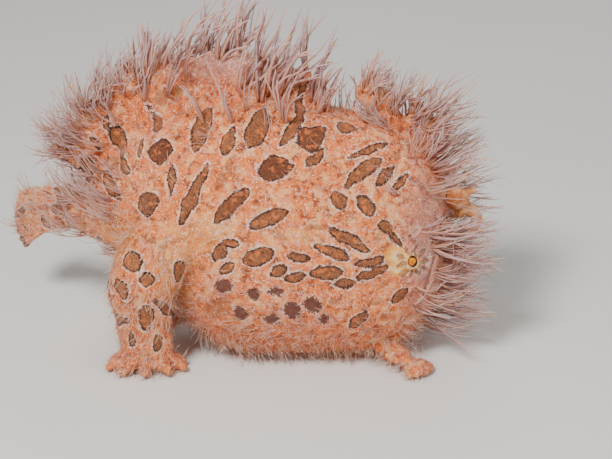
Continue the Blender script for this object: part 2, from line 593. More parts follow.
# Markings, each a leaf on the skin: photo pixels across and down, half length, half width, and the turn of the
# long axis in degrees, up to the right. Fill: 0 tan to 1 dark brown. Soft ones have no dark outline
spotPlan = dict(
    outlined=((155.6, 122.9, 7.6, 3.9, 95, 0.1), (119.5, 139.7, 11, 7, -60, 0.1), (97, 142, 6.5, 3.5, -60, 0),
              (107, 122, 6.5, 4, 80, 0), (122.5, 164, 9.5, 3.8, -63, 0.1), (109, 184, 17, 6, -53, 0.1),
              (85, 166, 9, 6, -60, 0.1), (141, 147.8, 10, 2.8, 85, 0.1), (160, 151, 13.5, 12, 0, 0.9),
              (201, 127.5, 22, 8, 69, 0.2), (227.8, 140, 15, 6, 80, 0.1), (192, 196, 33, 6, 65, 0.3),
              (170.5, 180, 13.5, 3.8, 88, 0), (230, 206, 24, 7, 45, 0.6), (147, 204, 12, 9.5, -70, 0.6),
              (260, 126.5, 21, 9.5, 68, 0.3), (274, 167.5, 18, 12.5, 12, 0.9), (294, 128, 17, 5.5, 58, 0.2),
              (313, 137, 16, 11, 40, 0.8), (301, 103, 9, 3.5, 100, 0.1), (315, 159, 13, 5, 47, 0.2),
              (346.5, 127, 10.5, 6, -10, 0.2), (369, 149.5, 20, 3.6, 23, 0.2), (363, 172.5, 22, 6, 38, 0.2),
              (386, 175, 13, 5, 48, 0.2), (400.5, 181.5, 11, 4, 42, 0.1), (340, 197, 10, 7, -50, 0.2),
              (365, 205, 13.5, 6.5, -55, 0.2), (132.3, 262, 9.7, 9.7, 0, 0), (148, 280.5, 8.5, 7, 0, 0),
              (121.4, 289.7, 10.5, 5, -75, 0), (145.3, 318, 13, 7, 90, 0.1), (165.5, 310.5, 11, 4.5, -55, 0.2),
              (158.5, 342, 9, 4.5, 90, 0.2), (131.5, 341, 7, 3.5, 90, 0.1), (180, 272, 11, 4.8, 72, 0.2),
              (221.7, 253, 9, 6.5, 50, 0.2), (231, 244, 8.5, 4.5, -10, 0.2), (228.8, 269, 8, 4.5, 35, 0.1),
              (269, 219, 21, 6.5, 22, 0.2), (259, 256.7, 15.5, 8.5, 15, 0.3), (301, 257.2, 11.8, 4.6, -3, 0.2),
              (277.4, 271.8, 8.5, 5, 30, 0.2), (294, 278.4, 10, 5.4, 10, 0.3), (325.9, 274, 16, 7, 2, 0.2),
              (345.7, 284.6, 11, 4.4, 8, 0.1), (333, 252.5, 19, 5.5, -22, 0.2), (349, 240, 24, 5.5, -27, 0.2),
              (372, 262, 14, 4, 9, 0.2), (375, 274, 16, 4.5, 24, 0.3), (401.5, 297, 10, 4, 38, 0.3),
              (359, 320, 11.5, 5.5, 52, 0.3), (384.7, 225.8, 7, 6.3, -40, 0.3), (396, 240, 12, 3.0, -50, 0.3)),
    soft=((161, 98.5, 8, 8, 0, 0.5), (176.5, 94, 9, 7, 0, 0.5), (112, 161, 8, 4, -50, 0.4),
          (247.5, 73.5, 9, 8, 0, 0.6), (270, 57, 6, 6, 0, 0.6), (224.5, 172, 20, 5, 61, 0.7),
          (296.5, 81, 7.2, 7.2, 0, 0.4), (311, 171, 4, 1.8, 20, 0.5), (396, 157, 4, 4, 0, 1),
          (144.5, 343, 4, 2.5, 90, 0.5), (218, 308, 14, 9, 30, 0.4), (314.5, 228.5, 9.5, 3.6, -5, 0.2),
          (377.7, 236.6, 4, 4, 0, 0.5), (256, 203, 4, 3, 0, 1), (384, 285, 9, 2, 32, 0.4),
          (401.5, 272.4, 6, 2, 35, 0.4), (377, 300, 8, 4, 25, 0.3), (336.5, 302.7, 6, 3.5, 0, 0.4),
          (384.7, 318.5, 3, 3, 0, 0.6)),
    ragged=((224.4, 287.6, 8.5, 6, 25, 1), (240.7, 313.6, 7, 7, 0, 1), (313, 305, 8.5, 8, 0, 1),
            (291, 311.5, 9, 9, 0, 1), (274.5, 293, 7.5, 4, 0, 0.9), (325, 320, 4.8, 4.8, 0, 1),
            (271.5, 320, 7, 5, 0, 0.9), (252.5, 296, 6, 6, 0, 0.8)),
    eyePixel=(413, 262.5), spokes=10, spokeFrom=12.5, spokeHalf=4.4, spokeWide=2.1,
    uneven=((3.2, 0.55), (1.2, 0.28)), stretch=(2.2, 1.8), through=5.5, hidden=40, hiddenHeights=(9, 58),
    hiddenGap=3.2)


def spokeRows():
    # short brown spokes round the eye, evenly turned
    plan = spotPlan
    rows = []
    for number in range(plan["spokes"]):
        turn = 2 * math.pi * (number + 0.3) / plan["spokes"]
        reach = plan["spokeFrom"] + 1.5 * math.sin(number * 2.3)
        x, y = plan["eyePixel"][0] + reach * math.cos(turn), plan["eyePixel"][1] - reach * math.sin(turn)
        rows.append((x, y, plan["spokeHalf"], plan["spokeWide"], math.degrees(turn), 0.2))
    return rows


def rightSide(points, normals, limbs):
    # the left half of the fish folded over onto the right, with a gentle warp so that the sides differ
    bend = np.where(limbs, 0.0, bodyRowsAt(points[:, 0])[:, 1])
    beyond = points[:, 1] - bend
    left = (beyond > 0)[:, None]
    warp = waver(points, 16, 80) * 2.2 * ease(0, 6, beyond)[:, None]
    folded = np.where(left, points * (1, -1, 1) + xyz(0, 2 * bend, 0) + warp, points)
    return folded, np.where(left, normals * (1, -1, 1), normals)


def leafDistance(away, along, across, outward, form, normals):
    # |a / length|^p + |b / width|^q - 1 over its own gradient: millimetres from a leaf's outline, where q near
    # 1 points the leaf's ends and the width grows towards one end
    a, b = away @ along, away @ across
    long, wide, p, q, skew = form
    here = wide * (1 + skew * np.clip(a / long, -1, 1))
    value = np.abs(a / long) ** p + np.abs(b / here) ** q - 1
    slope = np.hypot(p * np.abs(a / long) ** (p - 1) / long, q * np.abs(b / here) ** (q - 1) / here)
    distance = np.clip(value / np.maximum(slope, 0.35 / wide), -wide, farOff)
    return np.where((np.abs(away @ outward) > spotPlan["through"]) | (normals @ outward < 0), farOff, distance)


def markSkin(points, normals, limbs):
    # the nearest marking's distance and its kind, for each point of the skin
    folded, foldedNormals = rightSide(points, normals, limbs)
    uneven = folded + sum(waver(folded, size, 90) * share for size, share in spotPlan["uneven"])
    pixels, ahead = pixelsOf(points)
    toViewer = unit(viewPlace - np.array(viewPlan["aim"]))
    facing = normals @ toViewer > 0.12
    distance = np.full(len(points), farOff)
    dark, soft, ragged = np.zeros((3, len(points)))
    forms = np.random.default_rng(8)

    def lay(place, spot, outward, along, across, halves, kind):
        form = (*halves, forms.uniform(1.6, 2.2), forms.uniform(1.2, 1.9), forms.uniform(-0.4, 0.4))
        here = leafDistance(uneven - spot, along, across, outward, form, foldedNormals)
        here = np.where((limbs != limbs[place]) & (points[:, 2] < 32), farOff, here)
        nearer = here < distance
        distance[nearer] = here[nearer]
        dark[nearer], soft[nearer], ragged[nearer] = kind

    # how soft and how ragged each list of markings is
    lists = ((spotPlan["outlined"], (0, 0)), (spotPlan["soft"], (1, 0)), (spotPlan["ragged"], (0.15, 1)),
             (spokeRows(), (0.55, 0)))
    for (x, y, long, wide, turn, fill), manner in [(row, manner) for rows, manner in lists for row in rows]:
        off = np.hypot(pixels[:, 0] - x, pixels[:, 1] - y)
        seen = facing & (off < 4)
        if not seen.any():
            continue
        place = int(np.argmin(np.where(seen, ahead + off * 0.4, 1e9)))
        outward = normals[place]
        # a way in the picture plane is carried onto the skin's plane along the line of sight
        aim = math.radians(turn)
        ways = (viewRight * math.cos(aim) + viewUp * math.sin(aim),
                -viewRight * math.sin(aim) + viewUp * math.cos(aim))
        onSkin = [way - viewAhead * (way @ outward) / (viewAhead @ outward) for way in ways]
        halves = [half * pixel * min(np.linalg.norm(way), most)
                  for half, way, most in zip((long, wide), onSkin, spotPlan["stretch"])]
        along = unit(onSkin[0])
        lay(place, points[place], outward, along, unit(np.cross(outward, along)), halves, (fill, *manner))
    spots = np.random.default_rng(12)
    low, high = spotPlan["hiddenHeights"]
    hiddenPlaces = (foldedNormals @ toViewer < 0.1) & (points[:, 2] > low) & (points[:, 2] < high)
    for _ in range(spotPlan["hidden"]):
        free = np.flatnonzero(hiddenPlaces & (distance > spotPlan["hiddenGap"]))
        if len(free) == 0:
            break
        place = spots.choice(free)
        outward = foldedNormals[place]
        along = unit(np.cross(outward, spots.normal(size=3)))
        lay(place, folded[place], outward, along, np.cross(outward, along),
            (spots.uniform(2.0, 3.6), spots.uniform(1.1, 1.9)), (spots.uniform(0, 0.6), 0, 0))
    return distance, dark, soft, ragged, pixelsOf(folded)[0]


# Zones of another colour: photo pixels across and down, and the reach across and down
zonePlan = dict(
    ochre=((200, 236, 26, 20), (118, 240, 20, 26), (176, 290, 16, 22)),
    pale=((176, 258, 20, 16), (213, 226, 24, 12), (298, 236, 26, 8), (172, 232, 12, 10), (26, 243, 10, 5),
          (44, 236, 14, 5), (68, 227, 18, 5)),
    glow=((396, 256, 11, 10), (409, 262, 11, 10), (398, 270, 9, 6)),
    warm=((250, 335, 70, 26), (215, 310, 26, 28), (300, 90, 50, 20)),
    mauve=((430, 250, 24, 80), (250, 60, 90, 22)))


def inZone(pixels, x, y, across, down):
    # a bell curve over the photo's pixels
    return np.exp(-((pixels[:, 0] - x) / across) ** 2 - ((pixels[:, 1] - y) / down) ** 2)


def zoneValues(pixels):
    # each zone is the largest of its bell curves
    values = {label: np.max([inZone(pixels, *row) for row in rows], axis=0)
              for label, rows in zonePlan.items()}
    # fine bright rays round the eye: a wave of the turn about it, fading away from the lids
    away = pixels - np.array(spotPlan["eyePixel"])
    reach, turn = np.hypot(*away.T), np.arctan2(away[:, 1], away[:, 0])
    wave = np.clip(np.cos(turn * 13 + 1.5 * np.sin(turn * 3)), 0, 1) ** 1.5
    wave = wave * ease(11, 6, reach + 2 * np.sin(turn * 5))
    values["ray"] = np.maximum(wave, 0.8 * ease(6.4, 5.2, reach)) * (reach > 3)
    return values


clearOfBody = 1.12


def limbsOf(points):
    # arms with hands, and feet: what stands clear of the body low on either side
    x, y, z = points.T
    arm = (z < 38) & (x < -10) & (x > -42) & (np.abs(y) > 9)
    return (beyondBody(points) > clearOfBody) & (arm | (z < 8) & (x > 28))


def unwrapOf(points):
    # the skin laid flat: distance forward against the turn round the body's axis, limbs in bands above
    forward, bend, low, high, half = bodyRowsAt(points[:, 0]).T
    turn = np.arctan2(points[:, 2] - (low + high) / 2, points[:, 1] - bend) / (2 * np.pi) + 0.5
    u = (points[:, 0] - lowCorner[0]) / (highCorner[0] - lowCorner[0])
    band = np.where(points[:, 1] < bend, 0.62, 0.81) + 0.17 * np.clip(points[:, 2] / 80, 0, 1)
    v = np.where(beyondBody(points) > clearOfBody, band, 0.02 + 0.58 * turn)
    return xyz(0.02 + 0.95 * np.clip(u, 0, 1), v)


skinLimbs = limbsOf(skinPoints)
spotDistance, spotDark, spotSoft, spotRagged, foldedPixels = markSkin(skinPoints, skinNormals, skinLimbs)
skinValues = dict(spotDistance=spotDistance, spotDark=spotDark, spotSoft=spotSoft, spotRagged=spotRagged,
                  mouth=mouthDistance, **zoneValues(foldedPixels))
print("markings laid, share inside spots", round(float((spotDistance < 0).mean()), 3))


# Materials


def setInputs(tree, node, inputs):
    # numbers and colours go onto the node's sockets, and sockets are linked to them
    for label, value in inputs.items():
        if isinstance(value, bpy.types.NodeSocket):
            tree.links.new(value, node.inputs[label])
        else:
            node.inputs[label].default_value = value


def addNode(tree, kind, inputs=None, output=0, **settings):
    # one node: settings are its own properties, inputs are numbers, colours or sockets to link from
    made = tree.nodes.new("ShaderNode" + kind)
    for label, value in settings.items():
        setattr(made, label, value)
    setInputs(tree, made, inputs or {})
    return made.outputs[output]


def startMaterial(name):
    # a material with its tree and its shader
    made = bpy.data.materials.new(name)
    made.use_nodes = True
    return made, made.node_tree, made.node_tree.nodes["Principled BSDF"]


def readMarks(tree, labels):
    # the numbers that a mesh carries, by name
    return {label: addNode(tree, "Attribute", output="Fac", attribute_name=label) for label in labels}


def noiseAt(place, size, detail=2.0, roughness=0.55, distortion=0.0):
    # what a noise takes in, its size in millimetres
    return {"Vector": place, "Scale": 1 / (size * mm), "Detail": detail, "Roughness": roughness,
            "Distortion": distortion}


def shareOf(tree, place, source, low, high, least=0.0, most=1.0):
    # from low to high becomes least to most, by a smooth step. Source: a socket, or the numbers of a noise
    if isinstance(source, tuple):
        source = addNode(tree, "TexNoise", noiseAt(place, *source))
    return addNode(tree, "MapRange", {0: source, 1: low, 2: high, 3: least, 4: most},
                   interpolation_type="SMOOTHSTEP")


def layered(tree, place, colour, layers):
    # each layer's colour is laid over by the share that a smooth step gives
    for above, *share in layers:
        over = shareOf(tree, place, *share)
        colour = addNode(tree, "Mix", {0: over, 6: colour, 7: above}, 2, data_type="RGBA")
    return colour


def tinted(tree, colour, layers):
    # each layer's colour is laid over by its source times its share
    for above, source, share in layers:
        both = addNode(tree, "Math", {0: source, 1: share}, operation="MULTIPLY")
        colour = addNode(tree, "Mix", {0: both, 6: colour, 7: above}, 2, data_type="RGBA")
    return colour


def inks(codes):
    # linear colours by name
    return {label: linear(code) for label, code in codes.items()}


# Soft wet skin over muscle: light enters it a little, so edges glow and the wet film gives small soft lights.
# Its pattern: flesh pink with orange-brown mottling of 1 to 2 mm, tan spots with rough dark rims and pale
# halos. Scales in millimetres
skinInks = inks(dict(pink="#F07C34", mottle="#943204", light="#FFB878", web="#F0C0B4", fill="#824420",
                     centre="#B07040", deepFill="#5A2404", rim="#3A1204", halo="#FFE2D2", ochre="#CC7A10",
                     pale="#FFB468", glow="#FFB03A", ray="#FFE0A0", warm="#B84804", mauve="#BC8C8A",
                     mouth="#6A2A1A", ragged="#561200", speck="#2E1008", glint="#FFF2DC"))
skinScales = dict(mottle=2.2, lights=2.86, fleck=0.55, speck=0.44, glint=0.4125, rough=0.42, grain=0.16,
                  broad=6.0, web=3.2, webPatch=2.6, glow=0.9, halo=1.3, fillGrain=0.34, fillPink=1.5,
                  fillSpeck=0.8, rimGap=1.6)
zoneShares = dict(warm=0.5, ochre=0.65, mauve=0.75, pale=0.6)


def markingColour(tree, place, value):
    # lays the layers of colour over each other, from the base mottling up to the rims of the spots
    ink, size = skinInks, skinScales
    colour = layered(tree, place, ink["pink"], (
        (ink["mottle"], (size["mottle"], 4.0, 0.62, 0.6), 0.47, 0.64),
        (ink["warm"], (size["broad"],), 0.45, 0.7, 0.0, 0.35),
        (ink["light"], (size["lights"], 3.0), 0.5, 0.36, 0.0, 0.75)))
    colour = tinted(tree, colour, [(ink[label], value[label], most) for label, most in zoneShares.items()])
    # thin pale threads lying in the skin: where a slow noise passes its middle value
    slow = addNode(tree, "TexNoise", noiseAt(place, size["web"], 2.0, 0.5, 0.5))
    line = addNode(tree, "Math", {0: slow, 1: 0.5}, operation="SUBTRACT")
    line = addNode(tree, "Math", {0: line}, operation="ABSOLUTE")
    patches = shareOf(tree, place, (size["webPatch"], 1.0), 0.4, 0.6)
    webShare = addNode(tree, "Math", {0: patches, 1: 0.7}, operation="MULTIPLY")
    patches = shareOf(tree, place, (size["glow"],), 0.3, 0.6, 0.75, 1.0)
    glow = addNode(tree, "Math", {0: value["glow"], 1: patches}, operation="MULTIPLY")
    colour = layered(tree, place, colour, (
        (ink["web"], line, 0.026, 0.008, 0.0, webShare),
        (ink["light"], (size["fleck"],), 0.56, 0.68, 0.0, 0.75),
        (ink["speck"], (size["speck"], 1.0), 0.68, 0.75, 0.0, 0.85),
        (ink["glint"], (size["glint"], 0.0), 0.72, 0.77, 0.0, 0.85),
        (ink["glow"], glow, 0.10, 0.55), (ink["ray"], glow, 0.45, 0.95, 0.0, 0.85)))
    # the distance from a marking's outline, made rough by a noise
    jitter = addNode(tree, "TexNoise", noiseAt(place, size["rough"], 3.0))
    jitter = addNode(tree, "Math", {0: jitter, 1: 0.5}, operation="SUBTRACT")
    roughness = addNode(tree, "Math", {0: value["spotRagged"], 1: 2.6, 2: 1.3}, operation="MULTIPLY_ADD")
    edge = addNode(tree, "Math", {0: jitter, 1: roughness, 2: value["spotDistance"]}, operation="MULTIPLY_ADD")
    crisp = addNode(tree, "Math", {0: 1.0, 1: value["spotSoft"]}, operation="SUBTRACT")
    patches = shareOf(tree, place, (size["halo"], 1.0), 0.35, 0.6, 0.1, 0.75)
    haloShare = addNode(tree, "Math", {0: crisp, 1: patches}, operation="MULTIPLY")
    # what fills the markings
    grain = addNode(tree, "TexNoise", noiseAt(place, size["fillGrain"], 3.0, 0.7))
    fill = layered(tree, place, ink["fill"], ((ink["centre"], grain, 0.42, 0.62),))
    deep = layered(tree, place, ink["deepFill"], ((ink["fill"], grain, 0.45, 0.7),))
    fill = tinted(tree, fill, ((deep, value["spotDark"], 1.0),))
    fill = layered(tree, place, fill, ((ink["pink"], (size["fillPink"],), 0.52, 0.66, 0.0, 0.55),
                                       (ink["speck"], (size["fillSpeck"],), 0.58, 0.7, 0.0, 0.7)))
    fill = tinted(tree, fill, ((ink["ragged"], value["spotRagged"], 1.0),))
    full = addNode(tree, "Math", {0: value["spotSoft"], 1: -0.45, 2: 1.0}, operation="MULTIPLY_ADD")
    # the rim is mostly broad and dark, in places thin or gone
    rim = addNode(tree, "Math", {0: edge, 1: 0.08}, operation="ADD")
    rim = addNode(tree, "Math", {0: rim}, operation="ABSOLUTE")
    rim = addNode(tree, "Math", {0: shareOf(tree, place, rim, 0.38, 0.14), 1: crisp}, operation="MULTIPLY")
    colour = tinted(tree, colour, (
        (ink["halo"], shareOf(tree, place, edge, 0.62, 0.3), haloShare),
        (fill, shareOf(tree, place, edge, 0.15, -0.2), full),
        (ink["rim"], rim, shareOf(tree, place, (size["rimGap"],), 0.30, 0.50, 0.35, 1.0))))
    return layered(tree, place, colour, ((ink["ray"], value["ray"], 0.25, 0.7),))


def skinMaterial():
    # the markings, a darker line within 0.4 mm of the mouth, and a bump of two fine noises
    made, tree, shader = startMaterial("wet_frogfish_skin")
    place = addNode(tree, "TexCoord", output="Object")
    value = readMarks(tree, skinValues)
    gape = addNode(tree, "MapRange", {0: value["mouth"], 1: 0.4, 2: 0.1, 3: 0.0, 4: 0.4})
    colour = tinted(tree, markingColour(tree, place, value), ((skinInks["mouth"], gape, 1.0),))
    flecks = addNode(tree, "TexNoise", noiseAt(place, skinScales["fleck"], 3.0))
    grain = addNode(tree, "TexNoise", noiseAt(place, skinScales["grain"]))
    height = addNode(tree, "Math", {0: flecks, 1: grain}, operation="ADD")
    bump = addNode(tree, "Bump", {"Height": height, "Strength": 0.8, "Distance": 0.0003})
    setInputs(tree, shader, {
        "Base Color": colour, "Normal": bump, "Roughness": 0.34, "IOR": 1.4, "Subsurface Weight": 0.15,
        "Subsurface Scale": 0.0012, "Subsurface Radius": (1.0, 0.45, 0.3), "Sheen Weight": 0.12,
        "Sheen Roughness": 0.5})
    return made


# The coat: thin fleshy threads, soft and a little see-through, in the colours of the skin that they grow from
coatInks = inks(dict(tip="#FFAC76", long="#957A7A", longTip="#C6AEB4", pale="#C88A6C", paleTip="#F4DCCC",
                     gold="#F4B23A"))


def coatMaterial(name, tipShare, longShare, root="long", end="longTip"):
    # long threads take a colour of their own; short ones keep the skin's, paler to the tip but not on the spots
    made, tree, shader = startMaterial(name)
    place = addNode(tree, "Attribute", output="Vector", attribute_name="rootPlace")
    value = readMarks(tree, [*skinValues, "along", "tint"])
    toTip = addNode(tree, "MapRange", {0: value["along"], 1: 0.15, 2: 0.9})
    if longShare:
        early = addNode(tree, "MapRange", {0: value["along"], 1: 0.0, 2: 0.25, 3: 0.55, 4: 1.0})
        shade = tinted(tree, coatInks[root], ((coatInks[end], toTip, 1.0),))
        layers = [(shade, early, longShare), (coatInks["tip"], value["tint"], 0.4)]
    else:
        clear = addNode(tree, "MapRange", {0: value["spotDistance"], 1: 0.0, 2: 0.7, 3: 0.25, 4: 1.0})
        soft = addNode(tree, "Math", {0: toTip, 1: tipShare}, operation="MULTIPLY")
        layers = [(coatInks["tip"], soft, clear)]
    golden = [addNode(tree, "Math", {0: value[label], 1: least}, operation="GREATER_THAN")
              for label, least in (("tint", 0.9), ("along", 0.86))]
    layers.append((coatInks["gold"], *golden))
    setInputs(tree, shader, {
        "Base Color": tinted(tree, markingColour(tree, place, value), layers), "Roughness": 0.28, "IOR": 1.38,
        "Subsurface Weight": 0.4, "Subsurface Scale": 0.001, "Subsurface Radius": (1.0, 0.5, 0.4)})
    return made


skinStuff = skinMaterial()
skin = newPiece("frogfish_skin", skinPoints, skinFaces, skinStuff, skinValues)
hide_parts("head", "lower_jaw", "torso", "tail_stalk", "dorsal_fin", "anal_fin", "tail_fin",
            "dorsal_spine_2", "dorsal_spine_3", "pectoral_arm_r", "pectoral_arm_l", "pectoral_hand_r",
            "pectoral_hand_l", "pelvic_fin_r", "pelvic_fin_l")
print("skin piece made")


# Coat. Each region: length in millimetres, and the lie at the root and at the tip as forward, sideways and up
liePlan = dict(
    crown=(19.5, (0.05, 0.25, 1.0), (0.48, 0.14, 0.90)),
    front=(15.0, (1.0, 0.50, 0.0), (0.95, 0.20, 0.42)),
    rear=(10.0, (-0.85, 0.35, 0.40), (-0.55, 0.15, 0.85)),
    flank=(6.0, (-0.75, 0.10, 0.25), (-0.80, 0.05, 0.55)),
    low=(7.5, (-0.1, 0.85, -0.25), (0.35, 0.80, 0.10)),
    arm=(4.6, (-0.2, 0.30, -0.55), (-0.55, 0.35, -0.60)))


def lieAt(points, normals, limbs):
    # length and the lie at root and tip, blended between the regions by smooth steps of place
    x, y, z = points.T
    side = np.where(normals[:, 1] > 0, 1.0, -1.0)
    front = ease(33, 45, x)
    low = (1 - ease(5, 15, z)) * (1 - front)
    crown = ease(57, 66, z) * (1 - front)
    rear = ease(24, 38, -x) * (1 - crown) * (1 - low)
    shares = dict(front=front, low=low, crown=crown, rear=rear)
    shares["flank"] = np.maximum(0, 1 - front - low - crown - rear)
    shares = {label: np.where(limbs, 0.0, share) for label, share in shares.items()}
    shares["arm"] = limbs.astype(float)
    total = sum(shares.values())
    length = sum(liePlan[label][0] * share for label, share in shares.items()) / total
    length = length * (1 - 0.45 * shares["crown"] * np.maximum(ease(10, 34, -x), ease(12, 24, x)))
    length = length * (1 - 0.35 * ease(46, 54, -x))
    ways = []
    for which in (1, 2):
        way = sum(np.array(liePlan[label][which]) * share[:, None] for label, share in shares.items())
        way = way / total[:, None]
        way[:, 1] *= side
        ways.append(way)
    ways[0][:, 2] += front * (z - 34) * 0.022
    ways[1][:, 2] += front * (z - 34) * 0.014
    ways[1][:, 0] += 0.8 * shares["crown"] * ease(12, 28, x)
    flow = 0.35 * xyz(np.sin(z * 0.21 + x * 0.13), np.sin(x * 0.17 + 1), np.cos(x * 0.19 + y * 0.2))
    return length, unit(ways[0]), unit(ways[1] + flow)


def sampleSkin(count, weight):
    # random places on the skin, spread by area times the weight of each triangle
    a, b, c = (skinPoints[skinFaces[:, corner]] for corner in range(3))
    area = np.linalg.norm(np.cross(b - a, c - a), axis=1) / 2
    chance = np.cumsum(area * weight[skinFaces].mean(axis=1))
    pick = np.searchsorted(chance, rng.random(count) * chance[-1])
    shares = rng.random((count, 2))
    shares = np.where(shares.sum(axis=1, keepdims=True) > 1, 1 - shares, shares)
    shares = np.column_stack((1 - shares.sum(axis=1), shares))
    corners = skinFaces[np.minimum(pick, len(skinFaces) - 1)]

    def blend(numbers):
        return np.einsum("hk,hk...->h...", shares, numbers[corners])

    values = {label: blend(numbers) for label, numbers in skinValues.items()}
    return blend(skinPoints), unit(blend(skinNormals)), blend(skinLimbs.astype(float)) > 0.5, values


def curvedPaths(roots, start, end, length, steps, wave=0.0):
    # leaves the skin along start and turns towards end: root + start L (t - t^2/2) + end L t^2/2, with a wave
    t = np.linspace(0, 1, steps)[None, :, None]
    far = length[:, None, None]
    paths = roots[:, None] + start[:, None] * far * (t - t * t / 2) + end[:, None] * far * t * t / 2
    if wave:
        side = unit(np.cross(start, end + 0.01))
        phase, beat = (rng.uniform(*ends, len(roots))[:, None, None] for ends in ((0, 2 * np.pi), (3, 7)))
        paths = paths + side[:, None] * np.sin(t * beat + phase) * t * wave * far
    return paths


def keepInside(paths, least=0.12):
    # hairs that pass the solids' box are drawn in towards their root, and none goes through the floor
    low, high = lowCorner - room, highCorner + room
    low = np.array((low[0], low[1], least))
    root = paths[:, :1]
    reach = paths - root
    over = np.where(reach > 0, (paths - high) / np.maximum(reach, 1e-6),
                    (low - paths) / np.maximum(-reach, 1e-6))
    paths = root + reach * np.clip(1 - np.maximum(np.max(over, axis=(1, 2)), 0), 0.15, 1)[:, None, None]
    paths[..., 2] = np.maximum(paths[..., 2], least)
    return paths


def hairArrays(paths, width, flat, sides, taper):
    # a small ring round each point of each path, side by side with the lie, and a point at the tip
    hairs, steps = paths.shape[:2]
    ahead = unit(np.gradient(paths, axis=1))
    side = unit(np.cross(ahead, flat[:, None]))
    up = np.cross(side, ahead)
    t = np.linspace(0, 1, steps)[None, :-1]
    radius = (width[:, None] / 2 * (1 - taper * t ** 1.3))[..., None, None]
    turn = np.arange(sides)[:, None] * 2 * np.pi / sides
    ways = np.cos(turn) * side[:, :-1, None] + 0.7 * np.sin(turn) * up[:, :-1, None]
    rings = paths[:, :-1, None] + radius * ways
    points = np.concatenate((rings.reshape(hairs, -1, 3), paths[:, -1:]), axis=1)
    ring = np.arange(sides)
    after = (ring + 1) % sides
    last = (steps - 2) * sides
    pattern = []
    for base in range(0, last, sides):
        pattern += [xyz(ring, after, after + sides) + base, xyz(ring, after + sides, ring + sides) + base]
    fan = np.arange(1, sides - 1)
    pattern = np.concatenate(pattern + [xyz(ring, after, sides) + last, xyz(0, fan + 1, fan)])
    each = points.shape[1]
    faces = (pattern[None] + np.arange(hairs)[:, None, None] * each).reshape(-1, 3)
    along = np.append(np.repeat(np.linspace(0, 1, steps)[:-1], sides), 1.0)
    around = np.append(np.tile(ring / sides, steps - 1), 0.5)
    return points.reshape(-1, 3), faces, each, along, around


def makeCoat(label, paths, width, flat, sides, values, material, taper):
    # one piece of the coat, with its roots' marks, and each tuft a small patch of the unwrap at its root
    patch = 0.003
    roots = paths[:, 0]
    points, faces, each, along, around = hairArrays(keepInside(paths), width, flat, sides, taper)
    marks = {mark: np.repeat(numbers, each) for mark, numbers in values.items()}
    marks["along"] = np.tile(along, len(paths))
    marks["tint"] = np.repeat(rng.random(len(paths)), each)
    marks["rootPlace"] = np.repeat(roots * mm + shift, each, axis=0)
    spread = xyz(np.tile(around, len(paths)), marks["along"]) - 0.5
    uv = np.repeat(unwrapOf(roots), each, axis=0) + patch * spread
    newPiece("coat_" + label, points, faces, material, marks, uv)
    print("coat_" + label, len(paths), "hairs", len(faces), "triangles")


# Short threads: two of dense velvet, and two of loose ones among the markings. nearEye: how much barer they
# leave the skin by the eye
shortPlan = dict(
    velvet_a=dict(count=44000, lengths=(0.22, 0.5), widths=(0.11, 0.17), steps=2, stand=0.5, nearEye=0.7),
    velvet_b=dict(count=30000, lengths=(0.35, 0.85), widths=(0.11, 0.16), steps=2, stand=0.4, nearEye=0.7),
    spicules_a=dict(count=9000, lengths=(0.8, 2.0), widths=(0.1, 0.17), steps=4, stand=0.35, nearEye=0.85),
    spicules_b=dict(count=7000, lengths=(1.6, 5.0), widths=(0.12, 0.21), steps=6, stand=0.3, nearEye=0.9))


def growShort(label, weight, material):
    # hairs that lean with the lie and stand off the skin by their share
    plan = shortPlan[label]
    count, stand = plan["count"], plan["stand"]
    roots, normals, limbs, values = sampleSkin(count, grows * (1 - plan["nearEye"] * nearEye) * weight)
    _, start, end = lieAt(roots, normals, limbs)
    start = start - normals * np.minimum(dot(start, normals), 0)
    sway = rng.normal(size=roots.shape) * 0.45
    lean = unit(unit(start) * (1 - stand) + normals * stand + sway * 0.6)
    tipWay = unit(unit(end - normals * dot(end, normals)) * 0.7 + normals * 0.35 + sway * 0.7)
    length = rng.uniform(*plan["lengths"], count)
    wave = 0.12 if plan["steps"] > 4 else 0.0
    paths = curvedPaths(roots - normals * 0.06, lean, tipWay, length, plan["steps"], wave)
    makeCoat(label, paths, rng.uniform(*plan["widths"], count), normals + 0.01, 3, values, material, 0.6)


onLeft = xyz(skinPoints[:, 0], np.abs(skinPoints[:, 1]), skinPoints[:, 2])
nearEye = bell(np.linalg.norm(onLeft - eyeAt, axis=1), 4.5)
bareSkin = (lidReach < 1.45) | ((skinPoints[:, 2] < 0.8) & (skinNormals[:, 2] < -0.5))
grows = np.where(bareSkin, 0.0, 1.0)
offSpots = 0.25 + 0.75 * ease(0.1, 0.9, spotDistance)
edges = np.clip(ease(22, 8, skinPoints[:, 2]) + 0.8 * skinLimbs + 0.7 * ease(24, 40, -skinPoints[:, 0]), 0, 1)
velvet = coatMaterial("velvet_of_short_skin_threads", 0.6, 0.0)
palest = coatMaterial("pale_curling_skin_threads", 0.0, 0.85, "pale", "paleTip")
for label, weight, material in (("velvet_a", 1.0, velvet), ("velvet_b", offSpots, velvet),
                                ("spicules_a", offSpots ** 2, velvet),
                                ("spicules_b", offSpots ** 2 * (0.14 + 0.86 * edges), palest)):
    growShort(label, weight, material)

# Long threads: clusters of broad-based soft stems that taper to a thread, and branches that leave them half way
longPlan = dict(each=(2, 6), steps=11, sides=4, stray=0.13, branchFrom=(0.35, 0.65), branches=0.55,
                twigWidth=0.62,
                snout=dict(clusters=215, lengths=(0.5, 1.15), widths=(0.36, 0.74), stand=0.55),
                crown=dict(clusters=88, lengths=(0.45, 1.2), widths=(0.6, 1.2), stand=0.24),
                rear=dict(clusters=190, lengths=(0.5, 1.4), widths=(0.30, 0.60), stand=0.45),
                under=dict(clusters=260, lengths=(0.3, 0.9), widths=(0.22, 0.40), stand=0.7))


